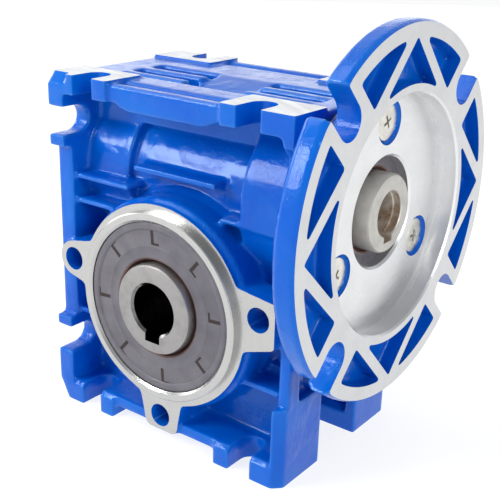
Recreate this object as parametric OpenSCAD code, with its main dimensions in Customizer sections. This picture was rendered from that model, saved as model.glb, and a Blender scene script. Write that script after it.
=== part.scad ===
// Right-angle worm gearbox, 30 mm centre distance, hollow output shaft.
// Origin: centre of the output bore, on the housing's mid plane.
// +X runs along the worm towards the motor flange, -Y faces the visible output side, +Z is up.

/* [Housing] */
// Half length along the worm, to the end faces
half_x = 40; // [39:0.5:44]
// Half width over the feet and ears
half_y = 28; // [28:0.5:30]
// Height of the top mounting pads above the output axis
top_z = 57; // [56:0.5:60]
// Height of the output axis above the bottom feet
foot_z = 40; // [39:0.5:42]
// Thickness of the end plates and feet
plate_t = 5.5; // [4.5:0.5:6]
// Distance between the foot slots along X
slot_pitch_x = 54; // [52:1:56]
// Distance between the foot slots along Y
slot_pitch_y = 44; // [43:1:46]
// Width of a foot slot
slot_w = 7; // [6:0.5:8]

/* [Gears] */
// Wheel face width
wheel_w = 10.5; // [9:0.5:11]
// Side clearance left on each flank
flank_gap = 0.42; // [0.4:0.02:0.46]

/* [Output shaft] */
// Diameter of the output bore
output_bore = 14; // [12:1:15]
// Half length of the hollow output shaft
output_half = 31; // [30.5:0.5:32]
// Width of the output keyway
output_key_w = 5; // [4:1:5]

/* [Input flange] */
// Outer diameter of the motor flange
flange_d = 94; // [90:1:98]
// X position of the motor flange's face
flange_x = 54; // [53:0.5:56]
// Thickness of the flange's rim
flange_rim_t = 6.5; // [6:0.5:8]
// Diameter of the recess that takes the motor's register
recess_d = 60; // [58:1:60]
// Depth of the recess
recess_depth = 5.5; // [5:0.5:6]
// Distance of each U slot's round end from the worm axis
flange_slot_r = 39.5; // [39:0.5:40.5]
// Width of the flange's U slots
flange_slot_w = 9; // [7:0.5:9.5]
// Diameter of the input bore
input_bore = 11; // [9:1:11]
// Width of the input keyway
input_key_w = 4; // [3:1:4]

/* [Ears] */
// Circle that the output-side ear holes lie on
ear_pcd = 65; // [64:0.5:66]
// Diameter of the ear holes
ear_hole_d = 6.6; // [6:0.2:7]
// Angle of the two side ears above the horizontal
ear_angle = 10; // [8:1:12]

/* [Hidden] */
$fn = 96;

eps = 0.01;
// Fixed by the gear geometry and by the bearings: centre distance, teeth, axial module, shaft diameter.
centre_d = 30;
wheel_teeth = 30;
gear_m = 1.44;
output_od = 25;
paint = "royalblue";
machined = "gainsboro";
steel = "darkgray";
rubber = "slategray";

// Gear geometry, worked out from the module and the centre distance.
pitch = PI * gear_m;
wheel_pitch_r = gear_m * wheel_teeth / 2;
worm_pitch_r = centre_d - wheel_pitch_r;
lead_angle = atan(pitch / (2 * PI * worm_pitch_r));
pressure_angle = 20;
worm_tip_r = worm_pitch_r + gear_m;
worm_root_r = worm_pitch_r - 1.2 * gear_m;
worm_turns = 6;
thread_w = pitch / 2 - 1.2 * flank_gap;
wheel_tip_r = wheel_pitch_r + gear_m;
wheel_root_r = wheel_pitch_r - 1.35 * gear_m;
wheel_outer_r = wheel_tip_r + 0.6;
throat_r = centre_d - wheel_tip_r;
wheel_bore_r = 17;

// Bearings: [bore radius, outer radius, width, ball radius, ball count].
output_bearing = [12.5, 23.5, 12, 3.2, 10];
input_bearing = [10, 18.5, 9, 2.4, 12];
rear_bearing = [6, 16, 10, 2.9, 7];

// Stack of parts along the output axis, as distances from the mid plane.
shim_t = 0.5;
hub_half = 9.2;
output_bearing_y = hub_half + shim_t;
output_seal_y = output_bearing_y + output_bearing[2] + 0.5;
seal_w = 7;
seat_r = output_bearing[1];
shoulder_r = 21;
shoulder_y = 8;
cavity_r = 26;
spigot_r = 26;
spigot_y = half_y + 2;
annulus_r = 28;
boss_r = 29.2;
drum_r = 30;
drum_half = 18.5;
cover_joint_y = 20.5;
cover_plate_y = 25.5;
cover_r = 36;
cover_register_r = 27;
cover_screw_r = 31.5;
cover_gap = 0.4;
cover_ear_x = 35.9;

// Stack of parts along the worm axis, as X positions.
floor_x = flange_x - recess_depth;
joint_x = half_x + 1;
gasket_t = 0.4;
input_bearing_x = 29;
flange_spigot_x = input_bearing_x + input_bearing[2];
input_seal_x = flange_spigot_x + 0.3;
input_seal_r = 16;
input_hole_r = 14;
input_end_x = floor_x + 2;
register_x = input_end_x + 0.2;
input_bore_depth = 22;
rear_bearing_x = -25.5;
circlip_t = 1.2;
circlip_x = rear_bearing_x - rear_bearing[2];
tunnel_r = 12.5;
flange_hub_r = 28.6;
flange_back_x = flange_x - flange_rim_t;

// Flange screws.
screw_pcd_r = 22.5;
screw_r = 2.45;
screw_hole_r = 2.5;
screw_head_r = 4.7;
screw_angles = [90, 210, 330];

// Housing details.
strip_y = 25.2;
notch_y = 22;
notch_r = 3.75;
upper_notch_z = 44;
lower_notch_z = -20.5;
pad_inner_x = 18.5;
pad_inner_y = 14.5;
plate_top_z = top_z - 0.8;
plate_low_z = top_z - plate_t;
inner_x = half_x - plate_t;
front_inner_x = half_x - 3.4;
block_top_z = -17.5;
block_low_z = 49.5;
skirt_y = half_y - 1.2;
pocket_near_y = -11.7;
pocket_far_y = 5.2;
land_x = [-7.5, 11.5];
rail_top_z = -foot_z + 6.5;
rail_low_z = -foot_z + 3.4;
web_y = 16;
web_top_z = -12;
rear_barrel_r = 19.4;
mid_barrel_r = 17;
front_barrel_r = 22.5;
front_boss_r = 26.8;
rear_barrel_end_x = -19;
front_barrel_start_x = 21;
ear_r = ear_pcd / 2;
ear_depth = 9;

// ---------------------------------------------------------------- helpers

// Cylinder along X between two X positions, on the worm axis.
module worm_cyl(x0, x1, r) {
    translate([x0, 0, centre_d]) rotate([0, 90, 0]) cylinder(r = r, h = x1 - x0);
}

// Cylinder along Y between two Y positions, on the output axis.
module out_cyl(y0, y1, r) {
    translate([0, y1, 0]) rotate([90, 0, 0]) cylinder(r = r, h = y1 - y0);
}

// Cone along Y between two Y positions, on the output axis.
module out_cone(y0, y1, r0, r1) {
    translate([0, y1, 0]) rotate([90, 0, 0]) cylinder(r1 = r1, r2 = r0, h = y1 - y0);
}

// Box given by its lowest and highest corners.
module span(low, high) {
    translate(low) cube(high - low);
}

// Profile drawn in [y, z], extruded along X from x0 to x1.
module plate_x(x0, x1) {
    translate([x0, 0, 0]) rotate([90, 0, 90]) linear_extrude(x1 - x0) children();
}

// Profile drawn in [x, z], extruded along Y from y0 to y1.
module plate_y(y0, y1) {
    translate([0, y1, 0]) rotate([90, 0, 0]) linear_extrude(y1 - y0) children();
}

// Copies a child at the four [x, y] corners, mirrored so that each faces outwards.
module at_corners() {
    for (sx = [0, 1], sy = [0, 1])
        mirror([sx, 0, 0]) mirror([0, sy, 0]) children();
}

// ---------------------------------------------------------------- housing

// U notch in an end plate, open to the side.
module end_notch(z) {
    translate([notch_y, z]) circle(r = notch_r);
    translate([notch_y, z - notch_r]) square([10, 2 * notch_r]);
}

// Rear plate outline in [y, z]: tabs beside the notches, a slimmer edge between them.
module rear_plate_outline() {
    difference() {
        union() {
            translate([-strip_y, -foot_z]) square([2 * strip_y, foot_z + plate_top_z]);
            for (z = [[-foot_z, -13.5], [37, plate_top_z]])
                translate([-half_y, z[0]]) square([2 * half_y, z[1] - z[0]]);
        }
        for (s = [0, 1], z = [upper_notch_z, lower_notch_z])
            mirror([s, 0]) end_notch(z);
        translate([-17.5, -19.5]) square([35, 24]);
        translate([-9, -foot_z - 1]) square([18, 25]);
    }
}

// Front plate outline in [y, z]: foot blocks, slim pillars and chamfered pad blocks.
module front_plate_outline() {
    step = half_y - strip_y;
    difference() {
        union() {
            translate([-strip_y, -foot_z]) square([2 * strip_y, foot_z + plate_top_z]);
            translate([-half_y, -foot_z]) square([2 * half_y, foot_z + block_top_z]);
            polygon([[-strip_y, block_low_z - step], [strip_y, block_low_z - step], [half_y, block_low_z],
                [half_y, plate_top_z], [-half_y, plate_top_z], [-half_y, block_low_z]]);
        }
        translate([-20, block_top_z]) square([40, 22]);
        translate([-9, -foot_z - 1]) square([18, 24]);
    }
}

// One foot slot, open to the side, cut right through a foot or pad.
module foot_slot(z0, z1) {
    x = slot_pitch_x / 2;
    y = slot_pitch_y / 2;
    translate([x, y, z0]) cylinder(d = slot_w, h = z1 - z0);
    span([x - slot_w / 2, y, z0], [x + slot_w / 2, half_y + 4, z1]);
}

// Pocket in the top deck with fins left standing along X.
module top_pocket(x0, x1) {
    difference() {
        union() {
            span([x0, pocket_near_y, plate_low_z + 1], [x1, pocket_far_y, top_z + 1]);
            span([x0, pocket_near_y + 4, 49.5], [x1, pocket_far_y, top_z]);
        }
        for (y = [-2.8, -10.4])
            span([x0 - 1, y, 45], [x1 + 1, y + 3.4, plate_top_z]);
    }
}

// Top deck: plate, four raised pads, fins and a skirt between the pads on each side.
module top_deck() {
    difference() {
        union() {
            span([-half_x, -half_y, plate_low_z], [half_x, half_y, plate_top_z]);
            at_corners() span([pad_inner_x, pad_inner_y, plate_low_z + 1], [half_x, half_y, top_z]);
            span([-inner_x, -14, centre_d + 14], [front_inner_x + eps, 14, plate_low_z + 1]);
            for (y = [-skirt_y, skirt_y - 3.8])
                plate_y(y, y + 3.8)
                    polygon([[-18, 56], [-18, 53], [-15.5, 50.6], [-12, 49.6],
                        [12, 49.6], [16, 51], [18, 53], [18, 56]]);
        }
        at_corners() foot_slot(centre_d, top_z + 1);
        for (s = [0, 1])
            mirror([0, s, 0]) {
                span([-pad_inner_x, skirt_y, centre_d], [pad_inner_x, half_y + 1, top_z + 1]);
                span([-pad_inner_x, 20.4, plate_top_z - 1], [pad_inner_x, 23.4, top_z]);
            }
        top_pocket(-28.5, land_x[0]);
        top_pocket(land_x[1], 33);
        plate_x(land_x[0] - eps, land_x[1] + eps)
            polygon([[pocket_far_y, plate_top_z], [pocket_near_y, plate_top_z - 3.4],
                [pocket_near_y, top_z + 1], [pocket_far_y, top_z + 1]]);
    }
}

// Bottom: four feet, side rails and corner webs between them, and a rib under the wheel drum.
module bottom_deck() {
    difference() {
        union() {
            at_corners() span([pad_inner_x, 9, -foot_z], [half_x, half_y, -foot_z + plate_t]);
            for (s = [0, 1])
                mirror([0, s, 0]) {
                    span([-inner_x, 11, rail_low_z], [front_inner_x + eps, half_y - 1, rail_top_z]);
                    span([-inner_x, web_y - 3, rail_low_z], [front_inner_x + eps, web_y, web_top_z]);
                }
            span([-7, -half_y + 6, rail_low_z], [7, half_y - 8, -drum_r + 3]);
        }
        at_corners() foot_slot(-foot_z - 1, -foot_z + 12);
    }
}

// Cuts that leave the rear end chamfered: along its bottom edge and at its two top corners.
module rear_chamfers() {
    plate_y(-half_y - 5, half_y + 5)
        polygon([[-half_x - 1, -foot_z - 1], [-half_x + 4, -foot_z - 1], [-half_x + 3.4, -foot_z],
            [-half_x, -foot_z + 5.5], [-half_x - 1, -foot_z + 7]]);
    for (s = [0, 1])
        mirror([0, s, 0]) plate_x(-half_x - 1, -half_x + 7)
            polygon([[half_y - 3, top_z], [half_y - 3, top_z + 1], [half_y + 1, top_z + 1],
                [half_y + 1, top_z - 3], [half_y, top_z - 3]]);
}

// Ear outlines in [x, z] on the near output face.
module ear_outlines() {
    hole = [ear_r * cos(ear_angle), ear_r * sin(ear_angle)];
    difference() {
        union() {
            translate([-hole[0], hole[1]]) circle(r = 5.2);
            polygon([[-36.2, hole[1] + 3.2], [-33, hole[1] + 5.2], [-22, 13], [-22, -4],
                [-27, -1], [-34.5, hole[1] - 4.6]]);
            polygon([[22, 12.8], [front_inner_x + 0.4, 11], [front_inner_x + 0.4, -1.2], [24, -5.5]]);
            polygon([[-7.5, -26], [-5.2, -36.2], [-4, -37], [4.6, -37], [5.8, -36.2], [7.8, -26]]);
        }
        circle(r = 24);
    }
}

// Positions of the three ear holes in [x, z].
function ear_holes() = [for (a = [180 - ear_angle, ear_angle, -90]) [ear_r * cos(a), ear_r * sin(a)]];

// Fins and webs on the near side, as boxes.
module near_fins() {
    span([-inner_x - eps, -24, 27.6], [-15, -12, 29.4]);
    span([-inner_x - eps, -24, 20.6], [-19, -12, 22.4]);
    span([-15, -21.5, 33], [12.5, -12, 34.6]);
    span([15, -22.5, 25.2], [front_inner_x + eps, -12, 26.8]);
    span([24, -24, -16], [front_inner_x + eps, -14, -14.4]);
    span([-inner_x - eps, -24, -12.6], [-24, -14, -11]);
}

// Matching fins on the far side.
module far_fins() {
    mirror([0, 1, 0]) {
        span([-inner_x - eps, -24, 27.6], [-15, -12, 29.4]);
        span([-inner_x - eps, -24, 20.6], [-19, -12, 22.4]);
        span([15, -22.5, 25.2], [front_inner_x + eps, -12, 26.8]);
    }
}

// Room for the cover and its ears between the end plates and rails.
module cover_relief() {
    x = cover_ear_x + cover_gap;
    out_cyl(cover_joint_y, half_y + 4, cover_r + cover_gap);
    span([-x, cover_joint_y, -4.5], [x, half_y + 4, 12.6]);
    span([-8.4, cover_joint_y, -37.6], [8.4, half_y + 4, 0]);
}

module housing() {
    color(paint) difference() {
        union() {
            top_deck();
            bottom_deck();
            plate_x(-half_x, -inner_x) rear_plate_outline();
            plate_x(front_inner_x, half_x) front_plate_outline();
            worm_cyl(-inner_x - 1, rear_barrel_end_x, rear_barrel_r);
            worm_cyl(rear_barrel_end_x - 1, front_barrel_start_x + 1, mid_barrel_r);
            worm_cyl(front_barrel_start_x, front_inner_x + 1, front_barrel_r);
            worm_cyl(half_x - 2, joint_x, front_boss_r);
            out_cyl(-drum_half, cover_joint_y, drum_r);
            out_cyl(12, cover_joint_y, cover_r);
            out_cyl(-half_y + 1.6, -drum_half + 1, boss_r);
            out_cyl(-half_y, -half_y + 3, annulus_r);
            out_cyl(-spigot_y, -half_y + 3, spigot_r);
            plate_y(-half_y, -half_y + ear_depth) ear_outlines();
            near_fins();
            far_fins();
        }
        // Chamfers at the rear corners.
        rear_chamfers();
        // Output side: bearing and seal seat, lead-in, wheel chamber, cover register.
        out_cyl(-spigot_y - 1, -hub_half - shim_t, seat_r);
        out_cone(-spigot_y - eps, -spigot_y + 1, seat_r + 1.2, seat_r);
        out_cyl(-hub_half - shim_t - eps, -shoulder_y, shoulder_r);
        out_cyl(-shoulder_y - eps, shoulder_y, cavity_r);
        out_cyl(shoulder_y - eps, cover_joint_y + 1, cover_register_r);
        cover_relief();
        // Worm tunnel with both bearing seats.
        worm_cyl(rear_bearing_x - eps, input_bearing_x + eps, tunnel_r);
        worm_cyl(input_bearing_x, joint_x + 1, input_bearing[1]);
        worm_cyl(-half_x - 1, rear_bearing_x, rear_bearing[1]);
        worm_cyl(circlip_x - circlip_t - 0.05, circlip_x + 0.05, rear_bearing[1] + 0.7);
        // Screw holes for the flange and the cover.
        for (a = screw_angles)
            translate([joint_x - 6, 0, centre_d]) rotate([a - 90, 0, 0]) translate([0, 0, screw_pcd_r])
                rotate([0, 90, 0]) cylinder(r = screw_hole_r, h = 8);
        for (a = [45, 135, 225, 315])
            rotate([0, -a, 0]) translate([cover_screw_r, cover_joint_y + 1, 0])
                rotate([90, 0, 0]) cylinder(r = 2.05, h = 8.5);
        // Ear holes.
        for (p = ear_holes())
            translate([p[0], -half_y - 1, p[1]]) rotate([-90, 0, 0])
                cylinder(d = ear_hole_d, h = ear_depth + 2);
    }
}

// ---------------------------------------------------------------- output cover

module output_cover() {
    color(paint) difference() {
        union() {
            out_cyl(cover_joint_y, cover_plate_y, cover_r);
            out_cyl(cover_plate_y - 1, half_y - 1.6, boss_r);
            out_cyl(cover_plate_y - 1, half_y, annulus_r);
            out_cyl(cover_plate_y - 1, spigot_y, spigot_r);
            out_cyl(shoulder_y + 0.3, cover_joint_y + eps, cover_register_r - 0.03);
            intersection() {
                mirror([0, 1, 0]) plate_y(-half_y, -cover_joint_y) ear_outlines();
                span([-cover_ear_x, 0, -foot_z], [cover_ear_x, half_y, foot_z]);
            }
        }
        out_cyl(hub_half + shim_t, spigot_y + 1, seat_r);
        out_cone(spigot_y - 1, spigot_y + eps, seat_r, seat_r + 1.2);
        out_cyl(shoulder_y, hub_half + shim_t + eps, shoulder_r);
        // Room for the worm.
        worm_cyl(rear_bearing_x, input_bearing_x, tunnel_r);
        // Groove for the O-ring.
        difference() {
            out_cyl(15, 17.4, cover_register_r + 1);
            out_cyl(14, 18, cover_register_r - 1.9);
        }
        for (a = [45, 135, 225, 315])
            rotate([0, -a, 0]) translate([cover_screw_r, 0, 0]) rotate([-90, 0, 0]) {
                cylinder(r = 2.2, h = half_y);
                translate([0, 0, cover_plate_y - 2]) cylinder(r = 3.8, h = 6);
            }
        for (p = ear_holes())
            translate([p[0], cover_joint_y - 1, p[1]]) rotate([-90, 0, 0])
                cylinder(d = ear_hole_d, h = half_y);
    }
}

// Socket head screws of the cover.
module cover_screws() {
    color(steel)
        for (a = [45, 135, 225, 315])
            rotate([0, -a, 0]) translate([cover_screw_r, cover_plate_y - 2, 0]) rotate([-90, 0, 0])
                difference() {
                    union() {
                        cylinder(r = 3.5, h = 4);
                        translate([0, 0, -9.8]) cylinder(r = 2, h = 10.8);
                    }
                    translate([0, 0, 1.8]) cylinder(r = 1.7, h = 3, $fn = 6);
                }
}

module cover_o_ring() {
    color("black") translate([0, 16.2, 0]) rotate([90, 0, 0])
        rotate_extrude() translate([cover_register_r - 0.95, 0]) circle(r = 0.93, $fn = 24);
}

// ---------------------------------------------------------------- input flange

// U slot at 45 degrees, open at the rim, as a 2D shape on the flange's face.
module flange_slot(w) {
    translate([flange_slot_r, 0]) circle(d = w);
    translate([flange_slot_r, -w / 2]) square([20, w]);
}

// Recessed pockets of one quarter: a ring sector crossed by two leaning ribs.
module flange_pockets() {
    outer_r = flange_d / 2 - 4;
    inner_r = recess_d / 2 + 2.3;
    rib_w = 3;
    difference() {
        circle(r = outer_r);
        circle(r = inner_r);
        for (a = [45:90:315])
            rotate(a)
                translate([0, -flange_slot_w / 2 - 3.2]) square([60, flange_slot_w + 6.4]);
        for (a = [0:90:270], s = [-1, 1])
            rotate(a) translate([outer_r + 0.6, s * 1.6]) rotate(180 - s * 44)
                translate([0, -rib_w / 2]) square([22, rib_w]);
    }
}

// Flange outline drawn in the plane of the face; u points along Y and v along Z.
module on_flange(x0, x1) {
    translate([x0, 0, centre_d]) rotate([90, 0, 90]) linear_extrude(x1 - x0) children();
}

module input_flange() {
    color(paint) difference() {
        union() {
            translate([flange_back_x, 0, centre_d]) rotate([0, 90, 0])
                rotate_extrude() polygon([[0, 0], [flange_d / 2 - 1.5, 0], [flange_d / 2, 1.5],
                    [flange_d / 2, flange_rim_t - 1], [flange_d / 2 - 1, flange_rim_t], [0, flange_rim_t]]);
            worm_cyl(joint_x + gasket_t, flange_back_x + 1, flange_hub_r);
            worm_cyl(flange_spigot_x, joint_x + gasket_t + eps, input_bearing[1] - 0.03);
        }
        // Motor register with a turned relief at its floor and a chamfered mouth.
        worm_cyl(floor_x, register_x, recess_d / 2 + 0.4);
        worm_cyl(register_x - eps, flange_x + 1, recess_d / 2);
        translate([flange_x - 0.8, 0, centre_d]) rotate([0, 90, 0])
            cylinder(r1 = recess_d / 2, r2 = recess_d / 2 + 0.8 + eps, h = 0.8 + eps);
        // Hole for the shaft and seat for its seal.
        worm_cyl(flange_spigot_x - 1, flange_x, input_hole_r);
        worm_cyl(flange_spigot_x - 1, input_seal_x + seal_w, input_seal_r);
        on_flange(flange_back_x - 1, flange_x + 1)
            for (a = [45:90:315]) rotate(a) flange_slot(flange_slot_w);
        on_flange(flange_x - 4.2, flange_x + 1) flange_pockets();
        for (a = screw_angles)
            translate([0, 0, centre_d]) rotate([a - 90, 0, 0]) translate([0, 0, screw_pcd_r])
                rotate([0, 90, 0]) {
                    cylinder(r = screw_hole_r + 0.2, h = flange_x);
                    translate([0, 0, floor_x - 3.4])
                        cylinder(r1 = screw_hole_r + 0.2, r2 = screw_head_r + 0.9, h = 2.9);
                    translate([0, 0, floor_x - 0.5]) cylinder(r = screw_head_r + 0.9, h = 3);
                }
    }
}

module flange_gasket() {
    color("saddlebrown") difference() {
        worm_cyl(joint_x, joint_x + gasket_t, flange_hub_r - 0.5);
        worm_cyl(joint_x - 1, joint_x + 2, input_bearing[1] + 0.2);
        for (a = screw_angles)
            translate([joint_x - 1, 0, centre_d]) rotate([a - 90, 0, 0]) translate([0, 0, screw_pcd_r])
                rotate([0, 90, 0]) cylinder(r = screw_hole_r + 0.1, h = 4);
    }
}

// Countersunk cross-head screws of the flange.
module flange_screws() {
    color(machined)
        for (a = screw_angles)
            translate([floor_x, 0, centre_d]) rotate([a - 90, 0, 0]) translate([0, 0, screw_pcd_r])
                rotate([0, 90, 0]) difference() {
                    union() {
                        translate([0, 0, -12.8]) cylinder(r = screw_r, h = 10);
                        translate([0, 0, -3]) cylinder(r1 = screw_r, r2 = screw_head_r, h = 2.4);
                        translate([0, 0, -0.6 - eps]) cylinder(r = screw_head_r, h = 0.5);
                    }
                    for (t = [20, 110])
                        rotate(t) translate([-2.5, -0.55, -1.9]) cube([5, 1.1, 3]);
                }
}

// ---------------------------------------------------------------- gears and shafts

// Half width of the worm's thread along X at a radius, and the angle it covers in the cross section.
function thread_half(r) = thread_w / 2 - (r - worm_pitch_r) * tan(pressure_angle);
function thread_angle(r) = 360 * thread_half(r) / pitch;
tip_a = thread_angle(worm_tip_r);
root_a = thread_angle(worm_root_r);

// Point on the thread's flank in the cross section, from the tip (0) to the root (1).
function flank_point(t, side) =
    let (a = side * (tip_a + (root_a - tip_a) * t), r = worm_tip_r + (worm_root_r - worm_tip_r) * t)
    r * [cos(a), sin(a)];

// Cross section of the single-start thread: crest, flank, root, flank.
function worm_section() = concat(
    [for (i = [-2:2]) worm_tip_r * [cos(tip_a * i / 2), sin(tip_a * i / 2)]],
    [for (i = [1:3]) flank_point(i / 4, 1)],
    [for (i = [0:5]) let (a = root_a + (360 - 2 * root_a) * i / 5) worm_root_r * [cos(a), sin(a)]],
    [for (i = [3:-1:1]) flank_point(i / 4, -1)]
);

module worm_thread() {
    length = worm_turns * pitch;
    translate([-length / 2, 0, centre_d]) rotate([0, 90, 0])
        linear_extrude(length, twist = -360 * worm_turns, slices = 26 * worm_turns, $fn = 20)
            polygon(worm_section());
}

module worm_shaft() {
    thread_end = worm_turns * pitch / 2;
    color(steel) difference() {
        union() {
            worm_thread();
            worm_cyl(-20, -thread_end + 0.5, worm_root_r - 0.3);
            worm_cyl(rear_bearing_x, -19.5, 8);
            worm_cyl(circlip_x, rear_bearing_x + eps, rear_bearing[0]);
            worm_cyl(thread_end - 0.5, 21, worm_root_r - 0.3);
            worm_cyl(20.5, input_bearing_x, 11.6);
            worm_cyl(input_bearing_x - eps, input_end_x - 0.7, input_bearing[0]);
            translate([input_end_x - 0.7 - eps, 0, centre_d]) rotate([0, 90, 0])
                cylinder(r1 = input_bearing[0], r2 = input_bearing[0] - 0.7, h = 0.7 + eps);
        }
        worm_cyl(input_end_x - input_bore_depth, input_end_x + 1, input_bore / 2);
        span([input_end_x - input_bore_depth, -input_key_w / 2, centre_d - input_bore / 2 - 1.8],
            [input_end_x + 1, input_key_w / 2, centre_d]);
    }
}

// Gap between two wheel teeth, drawn in [x, z] with the wheel's centre at the origin.
module tooth_gap() {
    function gap_half(r) = thread_half(centre_d - r) + flank_gap;
    low = wheel_root_r;
    high = wheel_tip_r;
    top = wheel_outer_r + 1;
    polygon([[-gap_half(low), low], [gap_half(low), low], [gap_half(high), high],
        [gap_half(high), top], [-gap_half(high), top], [-gap_half(high), high]]);
}

// Bronze rim: throated ring with tilted gaps.
module worm_wheel_rim() {
    throat_half = sqrt(throat_r * throat_r - pow(centre_d - wheel_outer_r, 2));
    color("goldenrod") difference() {
        rotate([90, 0, 0]) rotate_extrude()
            polygon(concat(
                [[wheel_bore_r, -wheel_w / 2], [wheel_outer_r, -wheel_w / 2]],
                [for (i = [-6:6]) let (y = throat_half * i / 6)
                    [centre_d - sqrt(throat_r * throat_r - y * y), y]],
                [[wheel_outer_r, wheel_w / 2], [wheel_bore_r, wheel_w / 2]]));
        for (i = [0:wheel_teeth - 1])
            rotate([0, i * 360 / wheel_teeth, 0]) rotate([0, 0, -lead_angle])
                plate_y(-wheel_w, wheel_w) tooth_gap();
    }
}

// Iron wheel centre in one piece with the hollow output shaft.
module output_hub() {
    chamfer = 0.8;
    r = output_od / 2;
    color(steel) difference() {
        union() {
            out_cyl(-output_half + chamfer, output_half - chamfer, r);
            out_cone(-output_half, -output_half + chamfer + eps, r - chamfer, r);
            out_cone(output_half - chamfer - eps, output_half, r, r - chamfer);
            out_cyl(-hub_half, hub_half, wheel_bore_r);
        }
        out_cyl(-output_half - 1, output_half + 1, output_bore / 2);
        out_cone(-output_half - eps, -output_half + 0.6, output_bore / 2 + 0.6, output_bore / 2);
        out_cone(output_half - 0.6, output_half + eps, output_bore / 2, output_bore / 2 + 0.6);
        span([-output_key_w / 2, -output_half - 1, -output_bore / 2 - 2.3],
            [output_key_w / 2, output_half + 1, 0]);
    }
}

module wheel_shims() {
    color(machined)
        for (s = [0, 1])
            mirror([0, s, 0]) difference() {
                out_cyl(hub_half, hub_half + shim_t, 15.4);
                out_cyl(hub_half - 1, hub_half + 1, output_od / 2);
            }
}

// ---------------------------------------------------------------- bearings

// Both race rings share this groove: a circle on the ball circle.
function ball_circle(b) = (b[0] + b[1]) / 2;

module outer_race(b) {
    land = ball_circle(b) + b[3] * 0.72;
    rotate_extrude() difference() {
        translate([land, 0]) square([b[1] - land, b[2]]);
        translate([ball_circle(b), b[2] / 2]) circle(r = b[3] + 0.06, $fn = 64);
    }
}

module inner_race(b) {
    land = ball_circle(b) - b[3] * 0.72;
    rotate_extrude() difference() {
        translate([b[0], 0]) square([land - b[0], b[2]]);
        translate([ball_circle(b), b[2] / 2]) circle(r = b[3] + 0.06, $fn = 64);
    }
}

module balls(b) {
    for (i = [0:b[4] - 1])
        rotate(i * 360 / b[4]) translate([ball_circle(b), 0, b[2] / 2]) sphere(r = b[3], $fn = 32);
}

// Crown cage: a ring beside the balls whose edge reaches between them.
module cage(b) {
    half_t = b[3] * 0.3;
    difference() {
        rotate_extrude() translate([ball_circle(b) - half_t, b[2] / 2 - b[3] * 0.2])
            square([2 * half_t, b[3] * 1.4]);
        for (i = [0:b[4] - 1])
            rotate(i * 360 / b[4]) translate([ball_circle(b), 0, b[2] / 2])
                sphere(r = b[3] + 0.12, $fn = 32);
    }
}

// Places a bearing drawn along +Z from its own face.
module at_near() { translate([0, -output_bearing_y, 0]) rotate([90, 0, 0]) children(); }
module at_far() { translate([0, output_bearing_y, 0]) rotate([-90, 0, 0]) children(); }
module at_input() { translate([input_bearing_x, 0, centre_d]) rotate([0, 90, 0]) children(); }
module at_rear() { translate([rear_bearing_x, 0, centre_d]) rotate([0, -90, 0]) children(); }

// ---------------------------------------------------------------- seals, cap and circlip

// Oil seal drawn along +Z, its visible face at z = 0 and its lip and spring behind it.
module oil_seal(bore_r, outer_r) {
    lip = bore_r + 0.05;
    rotate_extrude() polygon([
        [outer_r, -0.5], [outer_r - 0.5, 0], [outer_r - 2.6, 0], [outer_r - 3, -0.35], [lip + 2.3, -0.35],
        [lip + 1.9, 0.1], [lip + 0.9, 0.1], [lip, -0.9], [lip + 0.8, -2.4], [lip, -3.9], [lip + 1.1, -5.3],
        [lip + 1.5, -5.3], [lip + 1.5, -4.1], [lip + 2.5, -4.1], [lip + 2.5, -1.9],
        [outer_r - 1.2, -1.9], [outer_r - 1.2, -seal_w], [outer_r, -seal_w]
    ]);
}

module seal_spring(bore_r) {
    rotate_extrude() translate([bore_r + 2.1, -4.7]) circle(r = 0.5, $fn = 24);
}

module at_near_seal() { translate([0, -output_seal_y - seal_w, 0]) rotate([90, 0, 0]) children(); }
module at_far_seal() { translate([0, output_seal_y + seal_w, 0]) rotate([-90, 0, 0]) children(); }
module at_input_seal() { translate([input_seal_x + seal_w, 0, centre_d]) rotate([0, 90, 0]) children(); }

module near_output_seal() { color(rubber) at_near_seal() oil_seal(output_od / 2, seat_r); }
module far_output_seal() { color(rubber) at_far_seal() oil_seal(output_od / 2, seat_r); }
module input_seal() { color(rubber) at_input_seal() oil_seal(input_bearing[0], input_seal_r); }

module seal_springs() {
    color(machined) {
        at_near_seal() seal_spring(output_od / 2);
        at_far_seal() seal_spring(output_od / 2);
        at_input_seal() seal_spring(input_bearing[0]);
    }
}

// Internal circlip behind the rear bearing, with its gap and two eyes.
module rear_circlip() {
    r = rear_bearing[1] + 0.6;
    color(steel) translate([circlip_x, 0, centre_d]) rotate([0, -90, 0]) linear_extrude(circlip_t - 0.05)
        difference() {
            union() {
                difference() {
                    circle(r = r);
                    circle(r = r - 2.2);
                }
                for (s = [-1, 1]) rotate(s * 14) translate([r - 2.6, 0]) circle(r = 1.9);
            }
            translate([0, -2]) square([20, 4]);
            for (s = [-1, 1]) rotate(s * 14) translate([r - 3, 0]) circle(r = 0.8);
        }
}

// Blind cap pressed into the rear of the worm tunnel.
module rear_cap() {
    x1 = circlip_x - circlip_t - 0.2;
    color(rubber) difference() {
        worm_cyl(-half_x + 0.1, x1, rear_bearing[1]);
        worm_cyl(-half_x, -half_x + 1, rear_bearing[1] - 3);
    }
}

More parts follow.
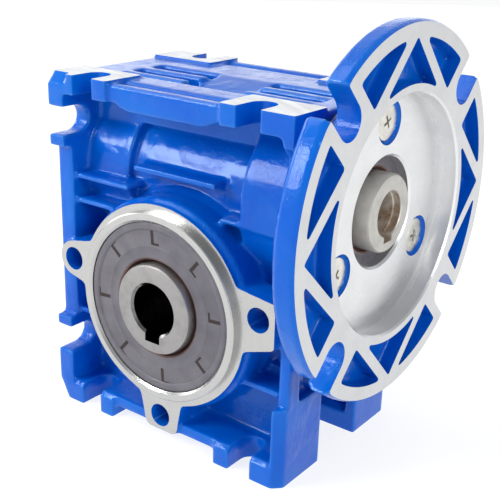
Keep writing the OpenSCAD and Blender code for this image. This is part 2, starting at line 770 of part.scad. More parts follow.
housing();
output_cover();
cover_screws();
cover_o_ring();
input_flange();
flange_gasket();
flange_screws();
worm_shaft();
worm_wheel_rim();
output_hub();
wheel_shims();
color(steel) at_near() outer_race(output_bearing);  // near_bearing_outer_race
color(steel) at_near() inner_race(output_bearing);  // near_bearing_inner_race
color(machined) at_near() balls(output_bearing);  // near_bearing_balls
color("goldenrod") at_near() cage(output_bearing);  // near_bearing_cage
color(steel) at_far() outer_race(output_bearing);  // far_bearing_outer_race
color(steel) at_far() inner_race(output_bearing);  // far_bearing_inner_race
color(machined) at_far() balls(output_bearing);  // far_bearing_balls
color("goldenrod") at_far() cage(output_bearing);  // far_bearing_cage
color(steel) at_input() outer_race(input_bearing);  // input_bearing_outer_race
color(steel) at_input() inner_race(input_bearing);  // input_bearing_inner_race
color(machined) at_input() balls(input_bearing);  // input_bearing_balls
color("goldenrod") at_input() cage(input_bearing);  // input_bearing_cage
color(steel) at_rear() outer_race(rear_bearing);  // rear_bearing_outer_race
color(steel) at_rear() inner_race(rear_bearing);  // rear_bearing_inner_race
color(machined) at_rear() balls(rear_bearing);  // rear_bearing_balls
color("goldenrod") at_rear() cage(rear_bearing);  // rear_bearing_cage
near_output_seal();
far_output_seal();
input_seal();
seal_springs();
rear_circlip();
rear_cap();
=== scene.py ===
"""Looks of the worm gearbox: a blue enamelled casting with milled faces, motor flange, seals and shafts.

Lengths are in millimetres until they reach a mesh, in the CAD frame: +X along the worm towards the motor
flange, -Y out of the near output side, +Z up, origin at the centre of the output bore.
"""
import math

import bmesh
import bpy
from mathutils import Matrix, Vector


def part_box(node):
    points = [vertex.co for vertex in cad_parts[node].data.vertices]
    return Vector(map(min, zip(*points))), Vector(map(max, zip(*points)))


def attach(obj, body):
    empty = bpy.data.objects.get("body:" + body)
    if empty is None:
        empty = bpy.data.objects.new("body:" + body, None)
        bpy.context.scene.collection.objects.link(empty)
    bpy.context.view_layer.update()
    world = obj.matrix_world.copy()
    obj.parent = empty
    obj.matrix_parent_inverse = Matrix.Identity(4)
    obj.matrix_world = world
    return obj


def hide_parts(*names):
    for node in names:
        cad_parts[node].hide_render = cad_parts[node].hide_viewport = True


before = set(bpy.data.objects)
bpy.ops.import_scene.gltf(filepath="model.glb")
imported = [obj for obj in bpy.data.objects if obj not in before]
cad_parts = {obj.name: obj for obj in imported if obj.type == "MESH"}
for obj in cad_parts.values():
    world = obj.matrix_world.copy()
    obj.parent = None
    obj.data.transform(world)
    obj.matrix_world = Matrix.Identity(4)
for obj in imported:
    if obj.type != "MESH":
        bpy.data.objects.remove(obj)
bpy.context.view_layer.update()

MM = 0.001
WORM_Z = 30.0
TOP_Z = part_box("housing")[1][2] / MM
FOOT_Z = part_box("housing")[0][2] / MM
SPIGOT_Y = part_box("output_cover")[1][1] / MM
FACE_Y = SPIGOT_Y - 2.0
SPIGOT_R = 26.0
SEAT_R = 23.5
EAR_REACH = 39.5
FACE_REACH = 38.9
PLATE_X = 30
TAB_TOP_Z = -13
FLANGE_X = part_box("input_flange")[1][0] / MM
FLANGE_R = (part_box("input_flange")[1][1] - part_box("input_flange")[0][1]) / MM / 2
FLOOR_X = FLANGE_X - 5.5
REGISTER_R = 30.0
RELIEF_R = REGISTER_R + 0.4
HOLE_R = 14.0
INPUT_SEAL_R = 16.0
INPUT_SEAL_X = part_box("input_seal")[1][0] / MM
OUTPUT_SEAL_Y = -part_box("near_output_seal")[0][1] / MM
OUTPUT_R = 12.5
OUTPUT_BORE_R = 7.0
OUTPUT_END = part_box("output_hub")[1][1] / MM
WHEEL_R = 17
WHEEL_SIDE_Y = 9.2
INPUT_R = 10.0
INPUT_BORE_R = 5.5
INPUT_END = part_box("worm_shaft")[1][0] / MM
SCREW_R = 22.5
SCREW_ANGLES = (90, 210, 330)
SCREW_DROP = 0.6
# The front plate stands as far out as the rear one.
FRONT_X = -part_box("housing")[0][0] / MM
FRONT_TOP_Z = 45
BLOCK_Y = 28.0
CORNER = 2.4
COVER_SCREW_R = 31.5
COVER_SCREW_ANGLES = (45, 135, 225, 315)
EAR_R = 32.5
EAR_ANGLES = (170, 10, -90)
EAR_HOLE_R = 3.3

# Keyways: width, and depth from the shaft's axis.
OUTPUT_KEY = (5, 9.3)
INPUT_KEY = (4, INPUT_BORE_R + 1.8)

# Extra metal on faces that are cut after soften().
STOCK = 0.8

# Material slots shared by the three castings and their cutters.
ENAMEL, MILLED, TURNED_Y, TURNED_X = range(4)


# ---------------------------------------------------------------- looks

class Look:
    """A procedural material under construction. Patterns are drawn in the piece's own metres."""

    def __init__(self, name, color, roughness, metallic=0.0):
        self.material = bpy.data.materials.new(name)
        self.material.use_nodes = True
        self.nodes = self.material.node_tree.nodes
        self.links = self.material.node_tree.links
        self.shader = self.nodes["Principled BSDF"]
        self.set("Base Color", (*color, 1.0))
        self.set("Roughness", roughness)
        self.set("Metallic", metallic)
        self.point = self.nodes.new("ShaderNodeTexCoord").outputs["Object"]

    def set(self, socket, value):
        self.shader.inputs[socket].default_value = value

    def put(self, value, socket):
        """Feeds a number or a link's output to a socket."""
        if isinstance(value, (int, float, tuple)):
            socket.default_value = value
        else:
            self.links.new(value, socket)

    def math(self, operation, a, b=0.0, clamp=False):
        node = self.nodes.new("ShaderNodeMath")
        node.operation = operation
        node.use_clamp = clamp
        self.put(a, node.inputs[0])
        self.put(b, node.inputs[1])
        return node.outputs[0]

    def noise(self, size, detail=2.0, rough=0.5, stretch=(1, 1, 1)):
        """Noise whose blotches are about size millimetres across."""
        mapping = self.nodes.new("ShaderNodeMapping")
        mapping.inputs["Scale"].default_value = [1 / (size * MM * s) for s in stretch]
        self.links.new(self.point, mapping.inputs["Vector"])
        node = self.nodes.new("ShaderNodeTexNoise")
        node.inputs["Scale"].default_value = 1.0
        node.inputs["Detail"].default_value = detail
        node.inputs["Roughness"].default_value = rough
        self.links.new(mapping.outputs[0], node.inputs["Vector"])
        return node.outputs["Fac"]

    def rings(self, axis, centre, size):
        """Random grooves about size millimetres wide, round an axis or round a far centre (axis None).

        They follow each other along the axis too, so a turned cylinder has them as a turned face does.
        """
        offset = self.nodes.new("ShaderNodeVectorMath")
        offset.operation = "SUBTRACT"
        offset.inputs[1].default_value = [c * MM for c in centre]
        self.links.new(self.point, offset.inputs[0])
        flat = self.nodes.new("ShaderNodeVectorMath")
        flat.operation = "MULTIPLY"
        flat.inputs[1].default_value = [0.0 if i == axis else 1.0 for i in range(3)]
        self.links.new(offset.outputs[0], flat.inputs[0])
        length = self.nodes.new("ShaderNodeVectorMath")
        length.operation = "LENGTH"
        self.links.new(flat.outputs[0], length.inputs[0])
        node = self.nodes.new("ShaderNodeTexNoise")
        node.noise_dimensions = "1D"
        node.inputs["Scale"].default_value = 1 / (size * MM)
        node.inputs["Detail"].default_value = 3.0
        along = self.nodes.new("ShaderNodeVectorMath")
        along.operation = "DOT_PRODUCT"
        along.inputs[1].default_value = [1.0 if i == axis else 0.0 for i in range(3)]
        self.links.new(self.point, along.inputs[0])
        reach = self.math("ADD", length.outputs["Value"], along.outputs["Value"])
        self.links.new(reach, node.inputs["W"])
        return node.outputs["Fac"]

    def ramp(self, value, low, high, start=0.35, end=0.65):
        """Maps a 0 to 1 value to numbers or colours between two stops."""
        node = self.nodes.new("ShaderNodeMapRange" if isinstance(low, float) else "ShaderNodeMix")
        if isinstance(low, float):
            for name, number in (("From Min", start), ("From Max", end), ("To Min", low), ("To Max", high)):
                node.inputs[name].default_value = number
            self.links.new(value, node.inputs["Value"])
            return node.outputs["Result"]
        node.data_type = "RGBA"
        node.inputs["A"].default_value = (*low, 1.0)
        node.inputs["B"].default_value = (*high, 1.0)
        self.links.new(self.ramp(value, 0.0, 1.0, start, end), node.inputs["Factor"])
        return node.outputs["Result"]

    def blend(self, factor, a, b):
        """Mixes two colours, each a tuple or a link's output."""
        node = self.nodes.new("ShaderNodeMix")
        node.data_type = "RGBA"
        self.put(factor, node.inputs["Factor"])
        self.put(a if not isinstance(a, tuple) else (*a, 1.0), node.inputs["A"])
        self.put(b if not isinstance(b, tuple) else (*b, 1.0), node.inputs["B"])
        return node.outputs["Result"]

    def edges(self, start=0.52, end=0.58):
        """Convex edges, as a 0 to 1 mask."""
        geometry = self.nodes.new("ShaderNodeNewGeometry")
        return self.ramp(geometry.outputs["Pointiness"], 0.0, 1.0, start, end)

    def color(self, value):
        self.links.new(value, self.shader.inputs["Base Color"])

    def roughness(self, value):
        self.links.new(value, self.shader.inputs["Roughness"])

    def bump(self, *layers):
        """Adds relief; each layer is (height, depth in millimetres)."""
        normal = None
        for height, depth in layers:
            node = self.nodes.new("ShaderNodeBump")
            node.inputs["Distance"].default_value = depth * MM
            self.links.new(height, node.inputs["Height"])
            if normal:
                self.links.new(normal, node.inputs["Normal"])
            normal = node.outputs["Normal"]
        self.links.new(normal, self.shader.inputs["Normal"])


def enamel():
    """Glossy blue enamel over a sand casting: soft waves, grain in patches, and a painted highlight of
    lighter blue on the convex edges.
    """
    look = Look("blue_enamel", (0.0, 0.092, 0.51), 0.2)
    tone = look.ramp(look.noise(22, 3), (0.0, 0.084, 0.50), (0.0, 0.122, 0.555))
    # Painted highlight: convex edges lighter blue.
    look.color(look.blend(look.math("MULTIPLY", look.edges(0.51, 0.60), 0.55), tone, (0.06, 0.30, 0.70)))
    patches = look.ramp(look.noise(13, 2), 0.0, 1.0, 0.45, 0.58)
    grain = look.math("MULTIPLY", look.noise(1.0, 4, 0.6), patches)
    streaks = look.math("MULTIPLY", look.noise(0.7, 2, 0.5, (1, 1, 7)), patches)
    look.roughness(look.ramp(look.noise(3.5, 4), 0.12, 0.24))
    look.set("Specular IOR Level", 0.33)
    look.set("Specular Tint", (0.4, 0.62, 1.0, 1.0))
    look.set("Coat Weight", 0.2)
    look.set("Coat Roughness", 0.06)
    look.bump((look.noise(7, 2), 0.2), (look.noise(1.3, 2), 0.015), (grain, 0.19), (streaks, 0.12))
    return look.material


def machined(name, axis, centre, groove, color, rough=(0.24, 0.38)):
    """Bare aluminium with tool marks round an axis, or round a far centre for a milled face."""
    look = Look(name, color, 0.3, 1.0)
    marks = look.rings(axis, centre, groove)
    wide = look.rings(axis, centre, groove * 9)
    smudge = look.noise(6, 3)
    dull = tuple(c * 0.93 for c in color)
    look.color(look.blend(look.ramp(smudge, 0.0, 0.6), color, dull))
    look.roughness(look.ramp(look.math("MULTIPLY", look.math("ADD", wide, smudge), 0.5), *rough))
    look.bump((marks, 0.018), (look.noise(0.3, 2), 0.004))
    return look.material


def steel(name, axis, centre, color, rough=(0.28, 0.46), groove=0.2):
    """Turned steel, faintly stained."""
    look = Look(name, color, 0.35, 1.0)
    marks = look.rings(axis, centre, groove)
    stain = look.ramp(look.noise(4.5, 4), 0.0, 1.0, 0.45, 0.75)
    look.color(look.blend(look.math("MULTIPLY", stain, 0.45), color, tuple(c * 0.62 for c in color)))
    look.roughness(look.ramp(look.noise(2.2, 3), *rough))
    look.bump((marks, 0.03), (look.noise(0.7, 3), 0.012))
    return look.material


def bore_shade_and_stain(name, dark, light, metallic, rough):
    """Inside of a bore, keyway or socket, stained in places; given dark colours, its darkness is painted
    shade.
    """
    look = Look(name, dark, 0.3, metallic)
    look.color(look.ramp(look.noise(3, 4), dark, light))
    look.roughness(look.ramp(look.noise(1.6, 3), *rough))
    look.bump((look.noise(0.5, 3), 0.01))
    return look.material


def seal_rubber(name, dark, light):
    """Moulded nitrile rubber with a fine satin skin and some dust, and a painted sheen that makes the
    convex edges lighter.
    """
    look = Look(name, light, 0.5)
    dusty = look.ramp(look.noise(5, 4), dark, light)
    # Painted sheen: convex edges lighter.
    edge_sheen = look.math("MULTIPLY", look.edges(0.52, 0.62), 0.4)
    look.color(look.blend(edge_sheen, dusty, tuple(c * 1.35 for c in light)))
    look.roughness(look.ramp(look.noise(1.2, 3), 0.38, 0.56))
    look.set("Specular IOR Level", 0.45)
    look.bump((look.noise(0.22, 2), 0.008), (look.noise(2.5, 2), 0.03))
    return look.material


def plain_metal(name, color, rough, detail=1.2):
    """Metal with small blotches, for screws, springs and bearings."""
    look = Look(name, color, rough, 1.0)
    look.color(look.ramp(look.noise(detail, 4), tuple(c * 0.82 for c in color), color))
    look.roughness(look.ramp(look.noise(detail * 0.6, 3), max(0.05, rough - 0.08), rough + 0.1))
    look.bump((look.noise(0.35, 3), 0.006))
    return look.material


def fibre():
    """Oiled gasket paper."""
    look = Look("gasket_fibre", (0.2, 0.12, 0.06), 0.8)
    look.color(look.ramp(look.noise(0.8, 5), (0.14, 0.08, 0.04), (0.30, 0.20, 0.11)))
    look.bump((look.noise(0.25, 3), 0.02))
    return look.material


BLUE = enamel()
CAST_LOOKS = (
    BLUE,
    machined("milled_aluminium", None, (-60, -160, 0), 0.22, (0.66, 0.67, 0.68)),
    # Painted light: the flange recess's turned aluminium (x) is a lighter copy of the output face's (y).
    machined("turned_aluminium_y", 1, (0, 0, 0), 0.14, (0.54, 0.54, 0.53), (0.18, 0.30)),
    machined("turned_aluminium_x_lit", 0, (0, 0, WORM_Z), 0.16, (0.80, 0.805, 0.81), (0.26, 0.36)),
)
OUTPUT_STEEL = steel("output_steel", 1, (0, 0, 0), (0.36, 0.35, 0.345), (0.34, 0.5))
# Painted light: the worm's steel is lighter than the output shaft's, standing in for light on its shaded
# side.
INPUT_STEEL = steel("input_steel", 0, (0, 0, WORM_Z), (0.58, 0.565, 0.53), (0.40, 0.60))
# The output bore's dark metal is painted shade; its blotches are oily stains.
BORE = bore_shade_and_stain("bore_shade_and_stain", (0.14, 0.14, 0.14), (0.26, 0.26, 0.26), 1.0, (0.10, 0.22))
INPUT_BORE = bore_shade_and_stain("stained_bore", (0.30, 0.20, 0.13), (0.60, 0.56, 0.50), 0.2, (0.25, 0.4))
GREY_RUBBER = seal_rubber("grey_rubber", (0.108, 0.101, 0.120), (0.140, 0.132, 0.152))
BLACK_RUBBER = seal_rubber("black_rubber", (0.014, 0.014, 0.015), (0.03, 0.03, 0.03))
# The lip's dark brown is painted shade in the gap against the shaft, in an oily brown.
LIP_RUBBER = seal_rubber("lip_brown", (0.060, 0.026, 0.022), (0.16, 0.085, 0.070))
TICK_INK = seal_rubber("tick_brown", (0.010, 0.003, 0.003), (0.02, 0.007, 0.006))
NICKEL = plain_metal("nickel_screw", (0.80, 0.78, 0.72), 0.30, 2.4)
BEARING = plain_metal("bearing_steel", (0.68, 0.68, 0.69), 0.14, 3.0)
BRASS = plain_metal("cage_brass", (0.72, 0.52, 0.24), 0.3)
BRONZE = plain_metal("wheel_bronze", (0.66, 0.42, 0.18), 0.34, 2.5)
FIBRE = fibre()


# ---------------------------------------------------------------- mesh tools

def piece_from(mesh, name):
    piece = bpy.data.objects.new(name, mesh)
    bpy.context.scene.collection.objects.link(piece)
    return piece


def apply_modifiers(piece):
    """Turns the piece's modifiers into mesh."""
    graph = bpy.context.evaluated_depsgraph_get()
    mesh = bpy.data.meshes.new_from_object(piece.evaluated_get(graph))
    old = piece.data
    piece.modifiers.clear()
    piece.data = mesh
    bpy.data.meshes.remove(old)


def copy_of_node(node, name):
    """A copy of a CAD node's mesh with its split vertices joined."""
    piece = piece_from(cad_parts[node].data.copy(), name)
    mesh = bmesh.new()
    mesh.from_mesh(piece.data)
    bmesh.ops.remove_doubles(mesh, verts=mesh.verts, dist=1e-6)
    mesh.to_mesh(piece.data)
    mesh.free()
    return piece


def raise_face(piece, axis, level, by, where=None):
    """Moves the vertices of a flat face outwards, so that the milling cut meets full stock."""
    for vertex in piece.data.vertices:
        spot = vertex.co / MM
        if abs(spot[axis] - level) < 0.01 and (where is None or where(spot)):
            vertex.co[axis] += by * MM


def raise_wall(piece, axis, centre_z, radius, by, low, high):
    """Moves the vertices of a round wall to another radius, so that the turning cut meets full stock."""
    for vertex in piece.data.vertices:
        spot = vertex.co / MM
        across, up = spot[1 - axis], spot[2] - centre_z
        reach = math.hypot(across, up)
        if abs(reach - radius) < 0.02 and low < spot[axis] < high:
            spot[1 - axis] = across * (radius + by) / reach
            spot[2] = centre_z + up * (radius + by) / reach
            vertex.co = spot * MM


def soften(piece, voxel, passes):
    """Rounds every edge and corner as a sand casting has them."""
    remesh = piece.modifiers.new("cast", "REMESH")
    remesh.mode = "VOXEL"
    remesh.voxel_size = voxel * MM
    smooth = piece.modifiers.new("smooth", "SMOOTH")
    smooth.factor = 0.5
    smooth.iterations = passes
    apply_modifiers(piece)


def thin_out(piece, ratio):
    """Merges faces where the surface is nearly flat."""
    collapse = piece.modifiers.new("thin", "DECIMATE")
    collapse.ratio = ratio
    apply_modifiers(piece)


def dress(piece, looks):
    """Gives the piece its material slots. A mesh with no slots yet keeps its face indices."""
    if piece.data.materials:
        piece.data.materials.clear()
    for look in looks:
        piece.data.materials.append(look)


def shade(piece, angle=32):
    piece.data.shade_smooth()
    piece.data.set_sharp_from_angle(angle=math.radians(angle))


def carve(piece, cutter, operation="DIFFERENCE"):
    """Cuts with (or joins) another closed mesh, which is then removed. Cut faces keep its face indices."""
    tool = piece.modifiers.new("cut", "BOOLEAN")
    tool.object = cutter
    tool.operation = operation
    tool.solver = "MANIFOLD"
    apply_modifiers(piece)
    mesh = cutter.data
    bpy.data.objects.remove(cutter)
    bpy.data.meshes.remove(mesh)


def from_bmesh(mesh, name, looks, index=0):
    """Makes a piece of a bmesh, with outward normals and one material index."""
    bmesh.ops.remove_doubles(mesh, verts=mesh.verts, dist=2e-7)
    bmesh.ops.dissolve_degenerate(mesh, edges=mesh.edges, dist=1e-8)
    bmesh.ops.recalc_face_normals(mesh, faces=mesh.faces)
    for face in mesh.faces:
        face.material_index = index
    data = bpy.data.meshes.new(name)
    mesh.to_mesh(data)
    mesh.free()
    piece = piece_from(data, name)
    dress(piece, looks)
    return piece


def place(axis, centre):
    """Frame whose local Z lies along an axis of the CAD frame: "x", "-x", "y" or "-y"."""
    turns = {
        "x": Matrix.Rotation(math.radians(90), 4, "Y"),
        "-x": Matrix.Rotation(math.radians(-90), 4, "Y"),
        "y": Matrix.Rotation(math.radians(-90), 4, "X"),
        "-y": Matrix.Rotation(math.radians(90), 4, "X"),
    }
    return Matrix.Translation(Vector(centre) * MM) @ turns[axis]


def lathe(name, profile, where, looks, index=0, steps=144):
    """Closed solid turned from a closed profile of (radius, height) points about the local Z."""
    mesh = bmesh.new()
    rings = []
    for step in range(steps):
        angle = 2 * math.pi * step / steps
        rings.append([mesh.verts.new((r * MM * math.cos(angle), r * MM * math.sin(angle), h * MM))
                      for r, h in profile])
    for step in range(steps):
        here, there = rings[step], rings[(step + 1) % steps]
        for i in range(len(profile)):
            j = (i + 1) % len(profile)
            if profile[i][0] > 0 or profile[j][0] > 0:
                mesh.faces.new((here[i], here[j], there[j], there[i]))
    bmesh.ops.transform(mesh, matrix=where, verts=mesh.verts)
    return from_bmesh(mesh, name, looks, index)


def prism(name, outline, low, high, where, looks, index=0, taper=1.0):
    """Closed solid from a convex outline of (x, y) points, from low to high along the local Z."""
    mesh = bmesh.new()
    bottom = [mesh.verts.new((x * taper * MM, y * taper * MM, low * MM)) for x, y in outline]
    top = [mesh.verts.new((x * MM, y * MM, high * MM)) for x, y in outline]
    mesh.faces.new(bottom)
    mesh.faces.new(top)
    for i in range(len(outline)):
        j = (i + 1) % len(outline)
        mesh.faces.new((bottom[i], bottom[j], top[j], top[i]))
    bmesh.ops.transform(mesh, matrix=where, verts=mesh.verts)
    return from_bmesh(mesh, name, looks, index)


def block(name, low, high, looks, index=0):
    """Closed box between two corners, for cutting."""
    outline = ((low[0], low[1]), (high[0], low[1]), (high[0], high[1]), (low[0], high[1]))
    return prism(name, outline, low[2], high[2], Matrix.Identity(4), looks, index)


def disc(radius, low, high):
    """Profile of a plain cylinder."""
    return ((0, low), (radius, low), (radius, high), (0, high))


def joined(pieces, name):
    """Joins pieces into one object and keeps their material indices by look."""
    mesh = bmesh.new()
    looks = []
    for piece in pieces:
        start = len(mesh.faces)
        mesh.from_mesh(piece.data)
        mesh.faces.ensure_lookup_table()
        for face in mesh.faces[start:]:
            look = piece.data.materials[face.material_index]
            if look not in looks:
                looks.append(look)
            face.material_index = looks.index(look)
        data = piece.data
        bpy.data.objects.remove(piece)
        bpy.data.meshes.remove(data)
    data = bpy.data.meshes.new(name)
    mesh.to_mesh(data)
    mesh.free()
    result = piece_from(data, name)
    for look in looks:
        data.materials.append(look)
    return result


def stand_for(piece, body, slot, *nodes):
    """Declares what a finished piece rides on and which CAD nodes it replaces."""
    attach(piece, body)
    if nodes:
        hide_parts(*nodes)


def around_x(angle, radius, x):
    """Point at an angle from +Y towards +Z round the worm axis."""
    turn = math.radians(angle)
    return (x, radius * math.cos(turn), WORM_Z + radius * math.sin(turn))


def around_y(angle, radius):
    """Point at an angle from +X towards +Z round the output axis, on the mid plane."""
    turn = math.radians(angle)
    return (radius * math.cos(turn), 0, radius * math.sin(turn))


# ---------------------------------------------------------------- castings

COVER_BOSS = disc(4.0, 12.3, 20.3)
COVER_HOLE = disc(2.05, 14.6, 22)


def output_face_cutter(side):
    """Turned cut that leaves the annulus, the ears and the spigot ring on one output side."""
    profile = ((0, SPIGOT_Y), (SPIGOT_R - 0.3, SPIGOT_Y), (SPIGOT_R, SPIGOT_Y - 0.3), (SPIGOT_R, FACE_Y),
               (EAR_REACH, FACE_Y), (EAR_REACH, SPIGOT_Y + 5), (0, SPIGOT_Y + 5))
    return lathe("cut", profile, place(side, (0, 0, 0)), CAST_LOOKS, TURNED_Y, steps=192)


def output_seat_cutter(side):
    """Turned seat of the bearing and the seal, with its chamfered mouth."""
    inner = 9.7
    profile = ((0, inner), (SEAT_R, inner), (SEAT_R, SPIGOT_Y - 0.6), (SEAT_R + 0.7, SPIGOT_Y + 0.1),
               (SEAT_R + 0.7, SPIGOT_Y + 6), (0, SPIGOT_Y + 6))
    return lathe("cut", profile, place(side, (0, 0, 0)), CAST_LOOKS, TURNED_Y, steps=192)


def drill_ears(casting, side, depth):
    """Painted screw holes in the three ears."""
    hole = disc(EAR_HOLE_R, FACE_Y - depth, FACE_Y + 4)
    for angle in EAR_ANGLES:
        spot = place(side, around_y(angle, EAR_R))
        carve(casting, lathe("cut", hole, spot, CAST_LOOKS, ENAMEL, steps=48))


def on_output_face(spot):
    """True on the annulus and the ears, not on the end plates' tabs."""
    on_tab = abs(spot[0]) > PLATE_X and spot[2] < TAB_TOP_Z
    return math.hypot(spot[0], spot[2]) < FACE_REACH and not on_tab


def fill_screw_bosses(casting):
    """Solid stock round the cover's screws, where soften() would open the thin walls."""
    plugs = []
    for angle in COVER_SCREW_ANGLES:
        spot = place("y", around_y(angle, COVER_SCREW_R))
        plugs.append(lathe("plug", COVER_BOSS, spot, CAST_LOOKS, ENAMEL, steps=32))
    return joined([casting] + plugs, "casting")


def drill_screw_bosses(casting):
    """Blind holes for the cover's screws."""
    for angle in COVER_SCREW_ANGLES:
        spot = place("y", around_y(angle, COVER_SCREW_R))
        carve(casting, lathe("cut", COVER_HOLE, spot, CAST_LOOKS, ENAMEL, steps=32))


def blunt_front_corners(casting):
    """Wide chamfers on the front plate's upright edges, which soften() then rounds."""
    dress(casting, CAST_LOOKS)
    still = Matrix.Identity(4)
    for side in (-1, 1):
        outline = ((FRONT_X + 1, side * (BLOCK_Y - CORNER - 1)), (FRONT_X + 1, side * (BLOCK_Y + 1)),
                   (FRONT_X - CORNER - 1, side * (BLOCK_Y + 1)))
        carve(casting, prism("cut", outline, FOOT_Z - 2, FRONT_TOP_Z, still, CAST_LOOKS, ENAMEL))


def make_casting():
    """Housing: rounded casting, then the milled feet and pads and the turned output side."""
    casting = copy_of_node("housing", "casting")
    blunt_front_corners(casting)
    casting = fill_screw_bosses(casting)
    raise_face(casting, 2, TOP_Z, STOCK)
    raise_face(casting, 2, FOOT_Z, -STOCK)
    raise_face(casting, 1, -FACE_Y, -STOCK, on_output_face)
    raise_wall(casting, 1, 0, SPIGOT_R, STOCK, -SPIGOT_Y - 1, -FACE_Y + 1)
    raise_wall(casting, 1, 0, SEAT_R, -STOCK, -SPIGOT_Y - 1, -12)
    raise_face(casting, 1, -SPIGOT_Y, -STOCK)
    soften(casting, voxel=0.5, passes=16)
    dress(casting, CAST_LOOKS)
    thin_out(casting, ratio=0.42)
    wide = 60
    for low, high in ((TOP_Z, TOP_Z + 8), (FOOT_Z - 8, FOOT_Z)):
        carve(casting, block("cut", (-wide, -wide, low), (wide, wide, high), CAST_LOOKS, MILLED))
    carve(casting, output_face_cutter("-y"))
    carve(casting, output_seat_cutter("-y"))
    drill_ears(casting, "-y", 9)
    drill_screw_bosses(casting)
    shade(casting)
    stand_for(casting, "gearcase", "painted_casting", "housing")


def make_far_cover():
    """Cover on the far side, finished like the near side."""
    cover = copy_of_node("output_cover", "far_cover")
    raise_face(cover, 1, FACE_Y, STOCK)
    raise_wall(cover, 1, 0, SPIGOT_R, STOCK, FACE_Y - 1, SPIGOT_Y + 1)
    raise_wall(cover, 1, 0, SEAT_R, -STOCK, 12, SPIGOT_Y + 1)
    raise_face(cover, 1, SPIGOT_Y, STOCK)
    soften(cover, voxel=0.5, passes=5)
    dress(cover, CAST_LOOKS)
    thin_out(cover, ratio=0.6)
    carve(cover, output_face_cutter("y"))
    carve(cover, output_seat_cutter("y"))
    drill_ears(cover, "y", 7)
    shade(cover)
    stand_for(cover, "gearcase", "painted_casting", "output_cover")


def make_motor_flange():
    """Cast flange with a milled face, a turned recess and seal seat, and painted countersinks."""
    flange = copy_of_node("input_flange", "motor_flange_casting")
    for radius in (REGISTER_R, RELIEF_R, HOLE_R, INPUT_SEAL_R):
        raise_wall(flange, 0, WORM_Z, radius, -STOCK, 30, FLANGE_X + 1)
    raise_face(flange, 0, FLANGE_X, STOCK)
    raise_face(flange, 0, FLOOR_X, STOCK)
    soften(flange, voxel=0.42, passes=7)
    dress(flange, CAST_LOOKS)
    thin_out(flange, ratio=0.6)
    on_worm = place("x", (0, 0, WORM_Z))
    mill = disc(FLANGE_R + 5, FLANGE_X, FLANGE_X + 5)
    carve(flange, lathe("cut", mill, on_worm, CAST_LOOKS, MILLED, steps=192))
    recess = ((0, FLOOR_X), (RELIEF_R, FLOOR_X), (RELIEF_R, FLOOR_X + 2),
              (REGISTER_R, FLOOR_X + 2.2), (REGISTER_R, FLANGE_X - 0.5),
              (REGISTER_R + 0.7, FLANGE_X + 0.2), (REGISTER_R + 0.7, FLANGE_X + 6), (0, FLANGE_X + 6))
    carve(flange, lathe("cut", recess, on_worm, CAST_LOOKS, TURNED_X, steps=192))
    chamfer = 0.6
    hole = ((0, 20), (INPUT_SEAL_R, 20), (INPUT_SEAL_R, INPUT_SEAL_X), (HOLE_R, INPUT_SEAL_X + 0.01),
            (HOLE_R, FLOOR_X - chamfer), (HOLE_R + chamfer, FLOOR_X),
            (HOLE_R + chamfer, FLANGE_X + 6), (0, FLANGE_X + 6))
    carve(flange, lathe("cut", hole, on_worm, CAST_LOOKS, TURNED_X))
    sink = ((0, -6.0), (2.7, -6.0), (2.7, -3.4), (4.75, -1.2), (5.3, -0.1), (5.4, 2.0), (0, 2.0))
    for angle in SCREW_ANGLES:
        spot = place("x", around_x(angle, SCREW_R, FLOOR_X))
        carve(flange, lathe("cut", sink, spot, CAST_LOOKS, ENAMEL, steps=64))
    shade(flange)
    stand_for(flange, "gearcase", "painted_casting", "input_flange")


# ---------------------------------------------------------------- shafts

def cut_keyway(shaft, key, low, high, centre, along):
    """Square keyway below a bore, open along the shaft."""
    half, depth = key[0] / 2, key[1]
    box = {"x": ((low, -half, centre - depth), (high, half, centre)),
           "y": ((-half, low, centre - depth), (half, high, centre))}[along]
    looks = tuple(shaft.data.materials)
    # In the output shaft the keyway takes the dark bore material: painted shade.
    carve(shaft, block("cut", box[0], box[1], looks, 1))


def paint_bore(shaft, axis, centre_z, radius):
    """Gives the bore's faces the shaft's second material: dark painted shade in the output shaft, oily
    stains in the worm's end.
    """
    for face in shaft.data.polygons:
        spot = face.center / MM
        across = spot[1] if axis == 0 else spot[0]
        facing = abs(face.normal[axis])
        if math.hypot(across, spot[2] - centre_z) < radius + 0.4 and facing < 0.9:
            face.material_index = 1


def make_output_shaft():
    """Hollow shaft in one piece with the wheel centre, with the keyway through its whole length."""
    end = OUTPUT_END
    profile = [(OUTPUT_BORE_R, -end + 0.6), (OUTPUT_BORE_R + 0.6, -end), (OUTPUT_R - 1.0, -end),
               (OUTPUT_R - 0.3, -end + 0.3), (OUTPUT_R, -end + 1.0), (OUTPUT_R, -WHEEL_SIDE_Y),
               (WHEEL_R, -WHEEL_SIDE_Y)]
    profile += [(r, -h) for r, h in reversed(profile)]
    looks = (OUTPUT_STEEL, BORE)
    shaft = lathe("hollow_output_shaft", profile, place("y", (0, 0, 0)), looks)
    cut_keyway(shaft, OUTPUT_KEY, -end - 1, end + 1, 0, "y")
    paint_bore(shaft, 1, 0, OUTPUT_BORE_R)
    shade(shaft)
    stand_for(shaft, "output_shaft", "iron_centre", "output_hub")


